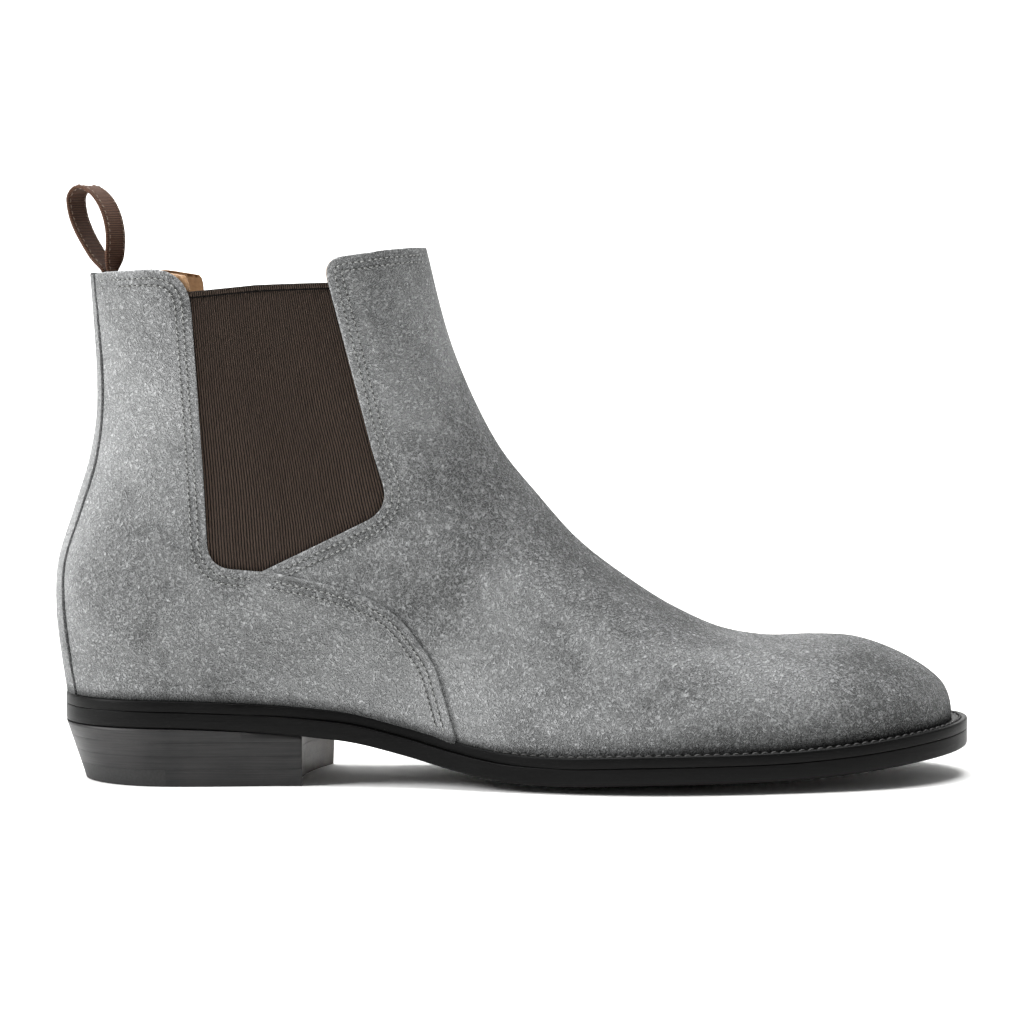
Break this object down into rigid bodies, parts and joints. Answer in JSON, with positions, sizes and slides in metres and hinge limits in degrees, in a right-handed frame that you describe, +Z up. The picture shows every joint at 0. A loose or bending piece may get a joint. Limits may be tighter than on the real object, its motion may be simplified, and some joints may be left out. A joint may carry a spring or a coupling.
{
  "type": "chelsea boot",
  "caption": "Ankle-high pull-on boot for the right foot: suede upper, elastic side gores, folding pull loop, welted leather sole and stacked heel.",
  "frame": {"origin": "middle of the heel's tread on the ground", "axes": "+X towards the toe, +Z up, +Y towards the inner side of the foot; the outer side is -Y"},
  "size_m": [0.3083, 0.1031, 0.1996],
  "materials": {
    "suede": "soft grey suede with a brushed nap",
    "elastic": "ribbed dark brown elastic webbing",
    "loop_ribbon": "woven brown ribbon, stitched along both edges",
    "lining_leather": "smooth tan lining leather",
    "backing_fabric": "cotton twill backing",
    "stiffener_board": "leather board stiffener",
    "insole_leather": "vegetable tanned insole leather",
    "sole_leather": "black waxed and burnished sole leather",
    "stacked_leather": "black burnished leather lifts",
    "heel_rubber": "black moulded rubber",
    "cork": "cork and resin filling",
    "shank_steel": "tempered steel strip",
    "nail_brass": "drawn brass"
  },
  "bodies": {
    "boot": {"vamp": "suede", "quarter_lateral": "suede", "quarter_medial": "suede", "backstay": "suede", "gore_lateral": "elastic", "gore_medial": "elastic", "pull_loop_tails": "loop_ribbon", "vamp_lining": "lining_leather", "quarter_lining": "lining_leather", "sock_liner": "lining_leather", "vamp_interlining": "backing_fabric", "quarter_interlining": "backing_fabric", "insole_rib": "backing_fabric", "toe_puff": "stiffener_board", "heel_counter": "stiffener_board", "insole": "insole_leather", "outsole": "sole_leather", "welt": "sole_leather", "heel_rand": "sole_leather", "heel_lift_top": "stacked_leather", "heel_lift_middle": "stacked_leather", "heel_lift_bottom": "stacked_leather", "top_piece": "stacked_leather", "rubber_heel_tip": "heel_rubber", "cork_filler": "cork", "heel_seat_filler": "cork", "shank": "shank_steel", "heel_nails": "nail_brass", "top_piece_pins": "nail_brass"},
    "loop": {"pull_loop": "loop_ribbon"}
  },
  "joints": [
    {"name": "pull_loop_fold", "type": "hinge", "parent": "boot", "child": "loop", "pos_m": [-0.02836, 0, 0.17107], "axis": [0.454, 0.891, 0], "range_deg": [-35, 75], "stiffness_Nm_per_rad": 0.01}
  ]
}
